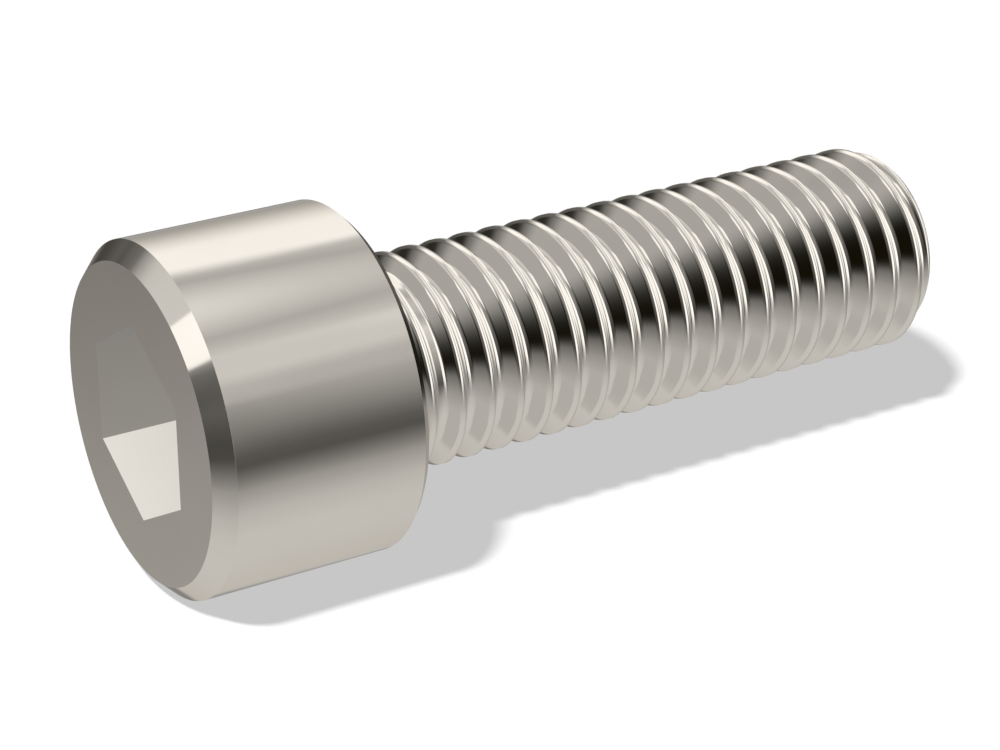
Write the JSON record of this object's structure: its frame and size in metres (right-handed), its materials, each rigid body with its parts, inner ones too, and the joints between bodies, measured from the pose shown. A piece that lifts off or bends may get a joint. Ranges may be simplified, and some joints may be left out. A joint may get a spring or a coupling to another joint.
{
  "type": "socket head cap screw",
  "caption": "Metric socket head cap screw: round bevelled head with a hexagon socket, plain bearing face, and a right-hand thread running from the head to a bevelled tip.",
  "frame": {"origin": "centre of the flat end of the tip, on which the screw stands", "axes": "+Z along the screw's axis from its tip to its head, +X to a corner of the hexagon socket, +Y across one of its flats"},
  "size_m": [0.016, 0.016, 0.04],
  "materials": {
    "bright_steel": "smooth satin to bright plain steel, slightly warm grey, with no coating colour"
  },
  "bodies": {
    "root": {"cap_screw": "bright_steel"}
  },
  "joints": []
}
